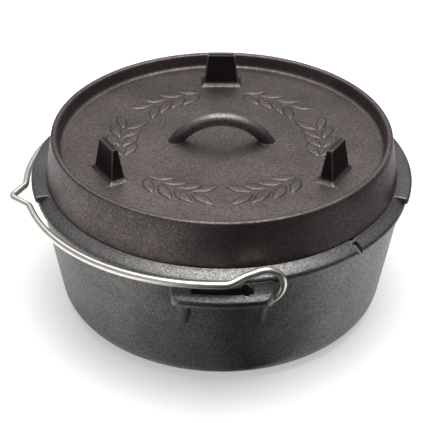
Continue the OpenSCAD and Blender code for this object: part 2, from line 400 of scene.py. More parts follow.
class Nodes:
    """A material's node tree, built link by link."""

    def __init__(self, name: str) -> None:
        """Starts a material with a shader and an output.

        Args:
            name: The material's name.
        """
        self.material = bpy.data.materials.new(name)
        self.material.use_nodes = True
        self.tree = self.material.node_tree
        self.tree.nodes.clear()
        self.output = self.tree.nodes.new("ShaderNodeOutputMaterial")
        self.shader = self.tree.nodes.new("ShaderNodeBsdfPrincipled")
        self.join(self.shader.outputs[0], self.output.inputs["Surface"])
        self.place = self.tree.nodes.new("ShaderNodeTexCoord").outputs["Object"]

    def join(self, source: NodeSocket | float, target: NodeSocket) -> None:
        """Links an output to an input, or sets the input to a constant.

        Args:
            source: The output or the constant.
            target: The input.
        """
        if isinstance(source, float):
            target.default_value = source
        else:
            self.tree.links.new(source, target)

    def noise(self, size: float, detail: float = 3.0, rough: float = 0.55) -> NodeSocket:
        """Adds a noise on the object's own coordinates.

        Args:
            size: Size of its main features, in mm.
            detail: How many finer layers it has.
            rough: How strong those layers are.

        Returns:
            The noise's value.
        """
        node = self.tree.nodes.new("ShaderNodeTexNoise")
        node.inputs["Scale"].default_value = 1 / (size * MM)
        node.inputs["Detail"].default_value = detail
        node.inputs["Roughness"].default_value = rough
        self.join(self.place, node.inputs["Vector"])
        return node.outputs["Fac"]

    def ramp(
        self, value: NodeSocket, low: tuple[float, Sequence[float]], high: tuple[float, Sequence[float]]
    ) -> NodeSocket:
        """Adds a ramp between two colours.

        Args:
            value: What drives it.
            low: Position and colour of its start.
            high: Position and colour of its end.

        Returns:
            The ramp's colour.
        """
        node = self.tree.nodes.new("ShaderNodeValToRGB")
        for element, (spot, colour) in zip(node.color_ramp.elements, (low, high)):
            element.position = spot
            element.color = (*colour, 1.0)
        self.join(value, node.inputs["Fac"])
        return node.outputs["Color"]

    def stored(self, name: str) -> NodeSocket:
        """Adds a reading of a value that the mesh stores.

        Args:
            name: What the mesh calls it.

        Returns:
            The value.
        """
        node = self.tree.nodes.new("ShaderNodeAttribute")
        node.attribute_name = name
        return node.outputs["Fac"]

    def mixed(self, how: str, share: NodeSocket | float, first: NodeSocket, second: NodeSocket) -> NodeSocket:
        """Adds a mix of two colours.

        Args:
            how: Blender's name for the way of mixing.
            share: How much of the second colour shows.
            first: The colour below.
            second: The colour above.

        Returns:
            The mixed colour.
        """
        node = self.tree.nodes.new("ShaderNodeMix")
        node.data_type = "RGBA"
        node.blend_type = how
        sockets = {i.identifier: i for i in node.inputs}
        factor, below, above = (sockets[n] for n in ("Factor_Float", "A_Color", "B_Color"))
        self.join(share, factor)
        self.join(first, below)
        self.join(second, above)
        return next(o for o in node.outputs if o.identifier == "Result_Color")

    def maths(self, how: str, first: NodeSocket, second: NodeSocket | float) -> NodeSocket:
        """Adds a sum, a product or the like.

        Args:
            how: Blender's name for it.
            first: Its first value.
            second: Its second value.

        Returns:
            The result.
        """
        node = self.tree.nodes.new("ShaderNodeMath")
        node.operation = how
        self.join(first, node.inputs[0])
        self.join(second, node.inputs[1])
        return node.outputs[0]

    def glow(self, strength: NodeSocket) -> None:
        """Takes the gloss off the surface and lets it shine white.

        Args:
            strength: How strongly it shines.
        """
        self.shader.inputs["Specular IOR Level"].default_value = 0.0
        self.shader.inputs["Emission Color"].default_value = (1, 1, 1, 1)
        self.join(strength, self.shader.inputs["Emission Strength"])

    def spread(
        self, value: NodeSocket, low: float, high: float, span: tuple[float, float] = (0.3, 0.7)
    ) -> NodeSocket:
        """Adds a map from one range to another.

        Args:
            value: What is mapped.
            low: What the start of its range becomes.
            high: What the end of its range becomes.
            span: Its range, as a rule the middle of a noise.

        Returns:
            The mapped value.
        """
        node = self.tree.nodes.new("ShaderNodeMapRange")
        node.inputs["From Min"].default_value, node.inputs["From Max"].default_value = span
        node.inputs["To Min"].default_value = low
        node.inputs["To Max"].default_value = high
        self.join(value, node.inputs["Value"])
        return node.outputs["Result"]

    def bump(
        self, height: NodeSocket, depth: float, strength: float, below: NodeSocket | None = None
    ) -> NodeSocket:
        """Adds a bump.

        Args:
            height: What drives it.
            depth: How deep it goes, in mm.
            strength: How much of it shows.
            below: The normal of a coarser bump under it.

        Returns:
            The bumped normal.
        """
        node = self.tree.nodes.new("ShaderNodeBump")
        node.inputs["Distance"].default_value = depth * MM
        node.inputs["Strength"].default_value = strength
        self.join(height, node.inputs["Height"])
        if below is not None:
            self.join(below, node.inputs["Normal"])
        return node.outputs["Normal"]


@dataclass(frozen=True)
class SeasonedIron:
    """Cast iron under a burnt-in coat of oil: dark satin metal with the grain of the sand mould."""

    name: str
    deep: Triple
    pale: Triple
    bare: Triple
    smooth: float
    dull: float
    grain: float = 1.3
    pit_ratio: float = 4.5
    grain_depth: float = 0.1
    speckle: float = 0.5
    patch: float = 34.0
    metallic: float = 0.94

    def material(self) -> Material:
        """Builds the finish.

        Returns:
            The node material.
        """
        made = Nodes(self.name)
        patches = made.noise(self.patch, detail=4.0)
        grains = made.noise(self.grain, detail=2.0, rough=0.6)
        pits = made.noise(self.grain * self.pit_ratio)
        coat = made.ramp(patches, (0.3, self.deep), (0.72, self.pale))
        metal = made.ramp(pits, (0.3, tuple(0.8 * c for c in self.bare)), (0.7, self.bare))
        # The stored value lightens the coat towards bare metal: rubbed wear on proud edges, the rim's slope
        # and the handle, and painted reflection on the lugs' fronts.
        wear_and_painted_light = made.stored("wear_and_painted_light")
        rubbed_or_painted_light = made.mixed("MIX", made.spread(wear_and_painted_light, 0.0, 1.0, (0.0, 1.0)), coat, metal)
        # Painted shade: where the stored value is below 0, on the lid's feet, the colour is darkened towards
        # this tone.
        shade_tone = made.ramp(pits, (0.3, (0.1, 0.1, 0.1)), (0.7, (0.2, 0.19, 0.18)))
        shaded = made.mixed("MULTIPLY", made.spread(wear_and_painted_light, 1.0, 0.0, (-1.0, 0.0)), rubbed_or_painted_light, shade_tone)
        dark = (1 - self.speckle,) * 3
        specks = made.ramp(grains, (0.36, dark), (0.64, (1.0, 1.0, 1.0)))
        made.join(made.mixed("MULTIPLY", 1.0, shaded, specks), made.shader.inputs["Base Color"])
        made.join(made.spread(grains, self.dull, self.smooth), made.shader.inputs["Roughness"])
        waves = made.bump(pits, depth=0.12, strength=0.5)
        made.join(made.bump(grains, self.grain_depth, 1.0, waves), made.shader.inputs["Normal"])
        made.shader.inputs["Metallic"].default_value = self.metallic
        return made.material

    def dress(self, casting: Object, rubbed_or_painted_light: Callable[[Vector], float]) -> None:
        """Cleans and shades a casting, marks its wear and its painted light, and gives it this finish.

        Args:
            casting: The casting.
            rubbed_or_painted_light: Gives the rubbing or painted light at a place, as for
                mark_wear_and_painted_light.
        """
        weld(casting)
        shade(casting, crease=32)
        mark_wear_and_painted_light(casting, rubbed_or_painted_light)
        casting.data.materials.clear()
        casting.data.materials.append(self.material())


@dataclass(frozen=True)
class BrightWire:
    """Drawn steel wire with fine lines along it."""

    name: str
    colour: Triple
    roughness: float

    def material(self) -> Material:
        """Builds the finish.

        Returns:
            The node material.
        """
        made = Nodes(self.name)
        tint = made.noise(size=9.0, detail=2.0)
        lines = made.noise(size=0.7, detail=2.0)
        dimmed = tuple(0.86 * c for c in self.colour)
        made.join(made.ramp(tint, (0.3, dimmed), (0.7, self.colour)), made.shader.inputs["Base Color"])
        rough = made.spread(lines, self.roughness - 0.05, self.roughness + 0.07)
        made.join(rough, made.shader.inputs["Roughness"])
        made.join(made.bump(lines, depth=0.02, strength=0.5), made.shader.inputs["Normal"])
        made.shader.inputs["Metallic"].default_value = 1.0
        return made.material


class Wire:
    """A round wire that is drawn on stretch by stretch, in mm."""

    sides = 28
    facet = 1.6
    most_steps = 110

    def __init__(self, radius: float, spot: Vector, heading: Vector) -> None:
        """Starts the wire with an open ring.

        Args:
            radius: The wire's radius.
            spot: The middle of the ring, which moves on with the wire's end.
            heading: The direction in which the wire starts.
        """
        self.radius, self.spot, self.heading = radius, spot, heading
        self.bm = bmesh.new()
        place = shift(*spot) @ facing(heading)
        bmesh.ops.create_circle(self.bm, cap_ends=False, segments=self.sides, radius=radius * MM, matrix=place)
        self.ring = list(self.bm.edges)

    def ahead(self, end: Vector) -> None:
        """Draws a straight stretch.

        Args:
            end: Where it ends.
        """
        verts = verts_of(bmesh.ops.extrude_edge_only(self.bm, edges=self.ring)["geom"])
        bmesh.ops.translate(self.bm, verts=verts, vec=(end - self.spot) * MM)
        fresh = set(verts)
        self.ring = [e for e in self.bm.edges if e.verts[0] in fresh and e.verts[1] in fresh]
        self.spot = end

    def turn(self, centre: Vector, axis: Vector, angle: float, steps: int) -> None:
        """Turns the open ring on.

        Args:
            centre: A point of the axis.
            axis: The axis.
            angle: How far it turns, in radians.
            steps: How many facets go along the turn.
        """
        geom = [*{v for e in self.ring for v in e.verts}, *self.ring]
        made = bmesh.ops.spin(self.bm, geom=geom, cent=centre * MM, axis=axis, angle=angle, steps=steps)
        self.ring = edges_of(made["geom_last"])
        self.spot = centre + Quaternion(axis, angle) @ (self.spot - centre)

    def bend(self, way: Vector, radius: float) -> None:
        """Draws a bend from the wire's heading into another.

        Args:
            way: The direction after the bend.
            radius: The bend's radius to the middle of the wire.
        """
        axis = self.heading.cross(way).normalized()
        angle = self.heading.angle(way)
        steps = max(4, round(angle * (radius + self.radius) / self.facet))
        centre = self.spot + axis.cross(self.heading) * radius
        self.turn(centre, axis, angle, min(steps, self.most_steps))


@dataclass
class Bail:
    """The wire bail: a bow with a kink in its middle and a hook at each end, in mm."""

    wire_r: float = 2.5
    bow_r: float = 138.5
    lift: float = 5.5
    kink_out: float = 10.6
    kink_w: float = 30.0
    shoulder_turn: float = 1.5
    run_end: float = 78.5
    shoulder_l: float = 4.0
    rise_l: float = 4.5
    lead_l: float = 10.0
    tip_bend: float = 5.0
    shoulder_bend: float = 8.0
    rise_bend: float = 14.0
    lead_bend: float = 12.0
    hook_r: float = 12.0
    hook_reach: float = 134.566
    hook_lead: float = 74.0
    hook_end: float = 301.0
    hinge_turn: float = 191.357
    hinge_z: float = 92.4
    end_round: float = 0.5
    hook_steps: int = 72

    def on_bow(self, r: float, degrees: float) -> Vector:
        """Returns a point of the bow, which climbs from the kink to the front hook."""
        a = math.radians(degrees)
        return Vector((r * math.cos(a), r * math.sin(a), self.lift * math.sin(a)))

    def along_bow(self, degrees: float) -> Vector:
        """Returns the bow's direction at an angle."""
        a = math.radians(degrees)
        return Vector((-math.sin(a), math.cos(a), self.lift / self.bow_r * math.cos(a))).normalized()

    def on_hook(self, degrees: float) -> Vector:
        """Returns a point of the front hook."""
        a = math.radians(degrees)
        return Vector((self.hook_r * math.cos(a), self.hook_reach, self.hook_r * math.sin(a)))

    def corners(self) -> tuple[list[Vector], list[float]]:
        """Finds where the wire's straight lines meet, from the kink's tip to the front hook.

        Returns:
            The corners, and the bend at each.
        """
        start = 2 * math.degrees(math.asin(self.kink_w / 4 / self.bow_r)) + self.shoulder_turn
        middle = (start + self.run_end) / 2
        outside = self.bow_r / math.cos(math.radians(self.run_end - middle))
        lead = math.radians(self.hook_lead)
        ahead = Vector((math.sin(lead), 0, -math.cos(lead)))
        points = [
            Vector((self.bow_r + self.kink_out, 0, 0)),
            self.on_bow(self.bow_r, start) - self.shoulder_l * self.along_bow(start),
            self.on_bow(outside, middle),
            self.on_bow(self.bow_r, self.run_end) + self.rise_l * self.along_bow(self.run_end),
            self.on_hook(self.hook_lead) + self.lead_l * ahead,
            self.on_hook(self.hook_lead),
        ]
        return points, [self.tip_bend, self.shoulder_bend, self.bow_r, self.rise_bend, self.lead_bend, 0.0]

    def half(self) -> BMesh:
        """Draws the wire from the middle of the kink's tip to the end of the front hook.

        Returns:
            The open half, in the bail's own frame.
        """
        points, bends = self.corners()
        mirrored = Vector((points[1].x, -points[1].y, -points[1].z))
        before = (points[0] - mirrored).normalized()
        ways = [(b - a).normalized() for a, b in zip(points, points[1:])]
        heading = (before + ways[0]).normalized()
        inward = (ways[0] - before).normalized()
        half_turn = before.angle(ways[0]) / 2
        wire = Wire(self.wire_r, points[0] + inward * bends[0] * (1 / math.cos(half_turn) - 1), heading)
        for i, way in enumerate(ways):
            if i == 0 or bends[i]:
                wire.bend(way, bends[i])
            wire.heading = way
            end = points[i + 1]
            if bends[i + 1]:
                turn = way.angle(ways[i + 1])
                end = end - way * bends[i + 1] * math.tan(turn / 2)
            wire.ahead(end)
        centre = Vector((0, self.hook_reach, 0))
        wire.turn(centre, -Y_AXIS, math.radians(self.hook_end - self.hook_lead), self.hook_steps)
        cap = bmesh.ops.edgeloop_fill(wire.bm, edges=wire.ring)["faces"]
        ease(wire.bm, [e for f in cap for e in f.edges], self.end_round, segments=2)
        return wire.bm

    def build(self, finish: BrightWire) -> Object:
        """Makes both halves, joins them at the kink and hangs them in the lugs.

        Args:
            finish: What the wire looks like.

        Returns:
            The dressed bail.
        """
        bm = self.half()
        twin = bmesh.ops.duplicate(bm, geom=[*bm.verts, *bm.edges, *bm.faces])["geom"]
        bmesh.ops.rotate(bm, verts=verts_of(twin), cent=(0, 0, 0), matrix=about(X_AXIS, 180))
        hang = shift(0, 0, self.hinge_z) @ about(Z_AXIS, self.hinge_turn)
        bmesh.ops.remove_doubles(bm, verts=bm.verts, dist=20 * WELD)
        bmesh.ops.transform(bm, matrix=hang, verts=bm.verts)
        made = solid_object(bm, "bail_wire")
        shade(made, crease=40)
        made.data.materials.append(finish.material())
        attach(made, "bail")
        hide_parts("bail")
        return made


@dataclass
class Pot:
    """The pot casting: bowl, rim, two lifting ears and two bail lugs, in mm."""

    rim_r: float = 132.0
    seat_z: float = 100.0
    base_r: float = 115.0
    base_round: float = 17.5
    floor_t: float = 5.5
    wall_t: float = 5.0
    seat_w: float = 3.6
    mouth_depth: float = 6.1
    mouth_bead: float = 14.0
    step_round: float = 0.9
    edge_round: float = 0.6
    rim_round: float = 3.0
    seat_round: float = 0.7
    mouth_round: float = 4.0
    bead_round: float = 12.0
    rim_step: float = 2.8
    band_h: float = 3.7
    slope_w: float = 8.0
    slope_drop: float = 4.8
    notch_w: float = 5.0
    notch_sunk: float = 1.0
    notch_bearing: float = 313.0
    ear_out: float = 2.3
    ear_in: float = 1.0
    ear_span: float = 37.0
    ear_t: float = 5.0
    ear_round: float = 2.0
    ear_edge: float = 0.7
    ear_steps: int = 36
    lug_w: float = 66.0
    lug_below: float = 13.0
    lug_t: float = 8.2
    lug_r: float = 142.03
    lug_corner: float = 9.5
    lug_edge: float = 1.4
    lug_under: float = 5.2
    lug_crown: float = 1.2
    lug_fillet: float = 7.0
    knee_out: float = 0.6
    knee_up: float = 1.2
    knee_round: float = 12.0
    plan_deep: float = 14.0
    plan_out: float = 0.4
    cut_past: float = 2.0
    ledge_span: float = 32.0
    ledge_sunk: float = 0.1
    patch_span: float = 40.0
    patch_below: float = 8.0
    patch_above: float = 1.0
    patch_inset: float = 0.35
    patch_deep: float = 3.6
    core_past: float = 10.0
    skin: float = 0.75
    slot_w: float = 41.0
    slot_front_r: float = 137.2
    slot_back_r: float = 133.9
    rib_d: float = 10.4
    rib_foot_d: float = 6.4
    rib_x: float = 24.7
    rib_back: float = 0.75
    rib_drop: float = 24.4
    eye_r: float = 3.0
    slope_rub: float = 0.45
    # Painted reflection on a lug's front: its strength, and how far below the bar's top it starts.
    lug_sheen: float = 0.4
    lug_sheen_below: float = 3.4
    steps: int = 256

    @property
    def band_top_z(self) -> float:
        """Height of the upper edge of the rim's band."""
        return self.seat_z - self.slope_drop

    @property
    def band_low_z(self) -> float:
        """Height of the lower edge of the rim's band."""
        return self.band_top_z - self.band_h

    @property
    def lug_top_z(self) -> float:
        """Height of a lug's front bar, from where its top climbs to the rim's band."""
        return self.seat_z - self.lug_below

    @property
    def lug_low_z(self) -> float:
        """Height of a lug's underside."""
        return self.lug_top_z - self.lug_t

    @property
    def mouth_r(self) -> float:
        """Radius of the mouth."""
        return self.rim_r - self.slope_w - self.seat_w

    def wall_r(self, z: float) -> float:
        """Returns the wall's outer radius at a height."""
        return self.base_r + (self.rim_r - self.rim_step - self.base_r) / self.band_low_z * z

    def section(self) -> list[Corner]:
        """Lays out the section of bowl and rim.

        Returns:
            Its corners, from the bottom's middle round to the floor's.
        """
        mouth_z = self.seat_z - self.mouth_depth
        bead_z = mouth_z - self.mouth_bead
        return [
            Corner(0, 0),
            Corner(self.base_r, 0, self.base_round, 12),
            Corner(self.wall_r(self.band_low_z), self.band_low_z, self.step_round, 3),
            Corner(self.rim_r, self.band_low_z, self.edge_round, 3),
            Corner(self.rim_r, self.band_top_z, self.rim_round, 6),
            Corner(self.rim_r - self.slope_w, self.seat_z, self.edge_round, 2),
            Corner(self.mouth_r, self.seat_z, self.seat_round, 3),
            Corner(self.mouth_r, mouth_z, self.mouth_round, 4),
            Corner(self.wall_r(bead_z) - self.wall_t, bead_z, self.bead_round, 5),
            Corner(self.wall_r(self.floor_t) - self.wall_t, self.floor_t, self.base_round - self.wall_t, 10),
            Corner(0, self.floor_t),
        ]

    def ear(self, bearing: float) -> Object:
        """Makes one lifting ear, level with the seat, with its ends eased.

        Args:
            bearing: Where its middle is, in degrees.

        Returns:
            The ear.
        """
        out, top = self.rim_r + self.ear_out, self.seat_z
        low, inside = top - self.ear_t, self.mouth_r + self.ear_in
        corners = [
            Corner(inside, low),
            Corner(out, low, self.ear_round, 5),
            Corner(out, top, self.ear_round, 5),
            Corner(inside, top),
        ]
        bm = swept(corners, bearing, self.ear_span, self.ear_steps)
        ease(bm, [e for f in bm.faces if len(f.edges) > 4 for e in f.edges], self.ear_edge, segments=2)
        return solid_object(bm, "ear")

    def plan(self, low: float, high: float) -> Object:
        """Makes the upright block that a lug is trimmed to, with round corners and a front on a circle.

        Args:
            low: Height of its underside.
            high: Height of its top.

        Returns:
            The block, which runs back into the pot.
        """
        half_w, front_r = self.lug_w / 2, self.lug_r + self.plan_out
        bm = bmesh.new()
        half = math.asin(half_w / front_r)
        first = bm.verts.new(mm(half_w, math.sqrt(front_r**2 - half_w**2), low))
        made = bmesh.ops.spin(bm, geom=[first], cent=(0, 0, 0), axis=Z_AXIS, angle=2 * half, steps=6)
        last = verts_of(made["geom_last"])[0]
        back_y = self.wall_r(low) - self.plan_deep
        back = [bm.verts.new(mm(side * half_w, back_y, low)) for side in (1, -1)]
        for pair in ((first, back[0]), (back[0], back[1]), (back[1], last)):
            bm.edges.new(pair)
        for vert in (first, last):
            ease(bm, [vert], self.lug_corner / math.tan((math.pi / 2 + half) / 2), 6, "VERTICES")
        bmesh.ops.edgeloop_fill(bm, edges=bm.edges)
        made = bmesh.ops.extrude_face_region(bm, geom=bm.faces[:])["geom"]
        bmesh.ops.translate(bm, verts=verts_of(made), vec=mm(0, 0, high - low))
        return solid_object(bm, "plan")

    def rib(self, x: float) -> Object:
        """Makes one rib under a lug: a web on the wall with a round front that runs out into it.

        Args:
            x: Its place along the lug.

        Returns:
            The rib.
        """
        foot_z = self.lug_low_z - self.rib_drop
        top = Vector((x, self.lug_r - self.rib_back * self.rib_d, self.lug_low_z + self.lug_t / 3))
        foot = Vector((x, math.sqrt(self.wall_r(foot_z) ** 2 - x**2) - self.rib_foot_d / 2, foot_z))
        way = top - foot
        bm = bmesh.new()
        radii = (self.rib_foot_d / 2, self.rib_d / 2)
        rod(bm, radii, way.length, 24, shift(*((top + foot) / 2)) @ facing(way))
        made = solid_object(bm, "rib")
        web = bmesh.new()
        outline = ((top.y, top.z), (foot.y, foot.z), (foot.y, top.z))
        face = web.faces.new([web.verts.new(mm(x - self.rib_foot_d / 2, y, z)) for y, z in outline])
        grown = bmesh.ops.extrude_face_region(web, geom=[face])["geom"]
        bmesh.ops.translate(web, verts=verts_of(grown), vec=mm(self.rib_foot_d, 0, 0))
        work_in(made, solid_object(web, "web"), Blend.JOIN)
        return made

    def slot(self, low: float, high: float) -> Object:
        """Makes the cutter for a lug's slot, which has round ends.

        Args:
            low: Height of its underside.
            high: Height of its top.

        Returns:
            The cutter.
        """
        middle_r = (self.slot_front_r + self.slot_back_r) / 2
        half = (self.slot_front_r - self.slot_back_r) / 2
        reach = math.degrees((self.slot_w / 2 - half) / middle_r)
        outline = ((-half, low), (half, low), (half, high), (-half, high))
        section = [Corner(middle_r + side, z) for side, z in outline]
        made = solid_object(swept(section, 90, 2 * reach, steps=24), "slot")
        for bearing in (-reach, reach):
            end = bmesh.new()
            place = about(Z_AXIS, bearing) @ shift(0, middle_r, (low + high) / 2)
            rod(end, (half, half), high - low, 32, place)
            work_in(made, solid_object(end, "slot_end"), Blend.JOIN)
        return made

    def core(self, low: float, high: float) -> Object:
        """Returns the cutter, between two heights, that ends a lug's back in the middle of the wall."""
        side = [Corner(self.wall_r(z) - self.wall_t / 2, z) for z in (low, high)]
        return solid_object(turned([Corner(0, low), *side, Corner(0, high)], self.steps), "core")

    def lug(self, bail: Bail) -> Object:
        """Makes the lug towards +Y with its ribs, on a patch of wall that they flow into.

        Args:
            bail: The bail, whose hook needs an eye.

        Returns:
            The lug.
        """
        low_z, high_z = self.lug_low_z - self.rib_drop - self.patch_below, self.band_low_z + self.patch_above
        low_r, high_r = self.wall_r(low_z), self.wall_r(high_z)
        patch = [
            Corner(low_r - self.patch_deep, low_z),
            Corner(low_r - self.patch_inset, low_z),
            Corner(high_r - self.patch_inset, high_z),
            Corner(high_r - self.patch_deep, high_z),
        ]
        made = solid_object(swept(patch, 90, self.patch_span, steps=48), "lug")
        inside = self.wall_r(self.lug_low_z) - self.patch_deep
        ledge = [
            Corner(inside, self.lug_low_z),
            Corner(self.lug_r, self.lug_low_z, self.lug_under, 6),
            Corner(self.lug_r, self.lug_top_z - self.lug_crown, self.lug_edge, 5),
            Corner(self.slot_front_r + self.knee_out, self.lug_top_z + self.knee_up, self.knee_round, 5),
            Corner(self.rim_r - self.ledge_sunk, self.lug_top_z + self.lug_fillet),
            Corner(inside, self.lug_top_z + self.lug_fillet),
        ]
        bar = solid_object(swept(ledge, 90, self.ledge_span, steps=64), "bar")
        low, high = self.lug_low_z - self.cut_past, self.lug_top_z + self.lug_fillet + self.cut_past
        work_in(bar, self.plan(low, high), Blend.MEET)
        work_in(made, bar, Blend.JOIN)
        for x in (-self.rib_x, self.rib_x):
            work_in(made, self.rib(x), Blend.JOIN)
        cast_together(made, self.skin, rounds=4)
        work_in(made, self.core(low_z - self.core_past, high_z + self.core_past), Blend.CUT)
        work_in(made, self.slot(low, high), Blend.CUT)
        eye = capped_torus(bail.hook_r, self.eye_r, start=0, span=360, steps=96, sides=24)
        hang = shift(0, 0, bail.hinge_z) @ about(Z_AXIS, bail.hinge_turn - 180)
        bmesh.ops.transform(eye, matrix=hang @ shift(0, bail.hook_reach, 0), verts=eye.verts)
        work_in(made, solid_object(eye, "eye"), Blend.CUT)
        return made

    def notch(self) -> Object:
        """Makes the cutter for the notch that lets a probe cable out under the lid.

        Returns:
            The cutter.
        """
        tilt = math.degrees(math.atan(self.slope_drop / self.slope_w))
        skirt_r = self.rim_r - self.slope_w
        bm = bmesh.new()
        for start, end_tilt, length in (
            (Vector((self.mouth_r - self.cut_past, 0, self.seat_z)), 0.0, self.seat_w + 2 * self.cut_past),
            (Vector((skirt_r, 0, self.seat_z - self.notch_sunk)), tilt, 2 * self.slope_w),
        ):
            lie = about(Y_AXIS, 90 + end_tilt) @ shift(0, 0, length / 2)
            place = about(Z_AXIS, self.notch_bearing) @ shift(*start) @ lie
            rod(bm, (self.notch_w / 2, self.notch_w / 2), length, 32, place)
        return solid_object(bm, "notch")

    def rubbed_or_painted_light(self, place: Vector) -> float:
        """Tells how far the rim's slope is rubbed, and how far a lug's front is lightened as a painted
        reflection.

        Args:
            place: The place, in metres.

        Returns:
            The rubbing or painted reflection there, from 0 to 1.
        """
        r, z = place.xy.length / MM, place.z / MM
        on_ring = self.rim_r - self.slope_w < r < self.rim_r + 0.1
        if on_ring and self.band_top_z - 0.3 < z < self.seat_z - 0.2:
            return self.slope_rub
        # Painted reflection: a lug's front below its top edge is lightened towards bare metal, as if it
        # mirrored the pale floor.
        on_lug = r > self.slot_front_r and self.lug_low_z - 1 < z < self.lug_top_z - self.lug_sheen_below
        return self.lug_sheen if on_lug else 0.0

    def build(self, finish: SeasonedIron, bail: Bail) -> Object:
        """Makes the casting and dresses it.

        Args:
            finish: What the iron looks like.
            bail: The bail that hooks into its lugs.

        Returns:
            The dressed pot.
        """
        made = solid_object(turned(self.section(), self.steps), "pot_casting")
        for bearing in (0, 180):
            work_in(made, self.ear(bearing), Blend.JOIN)
        front = self.lug(bail)
        back = copy_turned(front, 180)
        work_in(made, front, Blend.JOIN)
        work_in(made, back, Blend.JOIN)
        work_in(made, self.notch(), Blend.CUT)
        finish.dress(made, self.rubbed_or_painted_light)
        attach(made, "pot")
        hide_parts("pot")
        return made


@dataclass
class Lid:
    """The lid casting: coal tray with raised rim, skirt, arched handle and three feet, in mm."""

    seat_z: float = 100.0
    skirt_r: float = 124.0
    top_z: float = 130.8
    top_r: float = 118.6
    rim_w: float = 4.0
    rim_round: float = 1.8
    tray_z: float = 120.5
    tray_flare: float = 1.2
    tray_round: float = 3.0
    plate_t: float = 4.5
    lip_r: float = 119.6
    lip_t: float = 3.5
    lip_h: float = 4.5
    lip_round: float = 0.8
    skirt_round: float = 1.0
    hollow_draft: float = 1.5
    hollow_round: float = 4.0
    handle_span: float = 64.0
    handle_rise: float = 17.6
    handle_d: float = 9.6
    handle_root: float = 2.0
    handle_pad_x: float = 16.0
    handle_pad_y: float = 4.0
    foot_r: float = 87.2
    foot_h: float = 23.5
    foot_w: float = 26.0
    foot_top_w: float = 20.0
    foot_d: float = 10.4
    foot_top_d: float = 4.2
    foot_pad: float = 5.0
    fillet: float = 2.4
    fillet_sunk: float = 0.4
    fillet_lap: float = 1.2
    pad_t: float = 2.4
    pad_below: float = 0.3
    skin: float = 0.6
    spray_r: float = 70.0
    spray_half: float = 40.0
    spray_pairs: int = 4
    leaf_l: float = 19.0
    leaf_w: float = 8.0
    leaf_h: float = 1.1
    leaf_flat: float = 0.8
    leaf_point: float = 0.35
    leaf_apart: float = 6.2
    leaf_splay: float = 32.0
    leaf_sunk: float = 0.1
    handle_rub: float = 0.5
    # Painted shade: how strongly the feet are darkened.
    foot_shade: float = 0.75
    steps: int = 256

    def section(self) -> list[Corner]:
        """Lays out the section of the lid.

        Returns:
            Its corners, from the tray's middle round to the underside's.
        """
        rim_in = self.top_r - self.rim_w
        lip_in = self.lip_r - self.lip_t
        under_z = self.tray_z - self.plate_t
        return [
            Corner(0, self.tray_z),
            Corner(rim_in - self.tray_flare, self.tray_z, self.tray_round, 6),
            Corner(rim_in, self.top_z, self.rim_round, 5),
            Corner(self.top_r, self.top_z, self.rim_round, 5),
            Corner(self.skirt_r, self.seat_z, self.skirt_round, 4),
            Corner(self.lip_r, self.seat_z),
            Corner(self.lip_r, self.seat_z - self.lip_h, self.lip_round, 3),
            Corner(lip_in, self.seat_z - self.lip_h, self.lip_round, 3),
            Corner(lip_in - self.hollow_draft, under_z, self.hollow_round, 6),
            Corner(0, under_z),
        ]

    def pad(self, half_x: float, half_y: float) -> Object:
        """Makes a thin block just under the tray's face, which fillets flow into.

        Args:
            half_x: Half its length along X.
            half_y: Half its length along Y.

        Returns:
            The block.
        """
        bm = bmesh.new()
        bmesh.ops.create_cube(bm, size=1)
        bmesh.ops.scale(bm, vec=mm(2 * half_x, 2 * half_y, self.pad_t), verts=bm.verts)
        bmesh.ops.translate(bm, vec=mm(0, 0, self.tray_z - self.pad_below - self.pad_t / 2), verts=bm.verts)
        return solid_object(bm, "pad")

    def handle(self) -> Object:
        """Makes the arched handle on a patch of plate that it flows into.

        Returns:
            The handle.
        """
        half = self.handle_span / 2
        arc_r = (half**2 + self.handle_rise**2) / (2 * self.handle_rise)
        arc_z = self.tray_z + self.handle_rise - arc_r
        start = math.degrees(math.asin((self.tray_z - self.handle_root - arc_z) / arc_r))
        bm = capped_torus(arc_r, self.handle_d / 2, start, 180 - 2 * start, steps=72, sides=32)
        bmesh.ops.translate(bm, vec=mm(0, 0, arc_z), verts=bm.verts)
        made = solid_object(bm, "handle")
        work_in(made, self.pad(half + self.handle_pad_x, self.handle_d + self.handle_pad_y), Blend.JOIN)
        cast_together(made, self.skin, rounds=4)
        return made

    def tapered(self, low: Triple, high: Triple) -> Object:
        """Makes a block that tapers upwards at the foot's place on +X.

        Args:
            low: Depth, width and height of its underside.
            high: Depth, width and height of its top.

        Returns:
            The block.
        """
        bm = bmesh.new()
        bmesh.ops.create_cube(bm, size=1)
        ends = [[v for v in bm.verts if v.co.z < 0], [v for v in bm.verts if v.co.z > 0]]
        for verts, (depth, width, z) in zip(ends, (low, high)):
            bmesh.ops.scale(bm, vec=mm(depth, width, 0), verts=verts)
            bmesh.ops.translate(bm, vec=mm(self.foot_r, 0, z), verts=verts)
        return solid_object(bm, "block")

    def foot(self) -> Object:
        """Makes the foot on +X, on a patch of plate that it flows into.

        Returns:
            The foot.
        """
        top = self.tray_z + self.foot_h
        made = self.tapered((self.foot_d, self.foot_w, self.tray_z), (self.foot_top_d, self.foot_top_w, top))
        grown = 2 * self.fillet
        skirt = self.tapered(
            (self.foot_d + grown, self.foot_w + grown, self.tray_z - self.fillet_sunk),
            (self.foot_d - self.fillet_lap, self.foot_w - self.fillet_lap, self.tray_z + self.fillet),
        )
        work_in(made, skirt, Blend.JOIN)
        pad = self.pad(self.foot_d / 2 + self.foot_pad, self.foot_w / 2 + self.foot_pad)
        pad.data.transform(shift(self.foot_r, 0, 0))
        work_in(made, pad, Blend.JOIN)
        cast_together(made, self.skin, rounds=3)
        return made

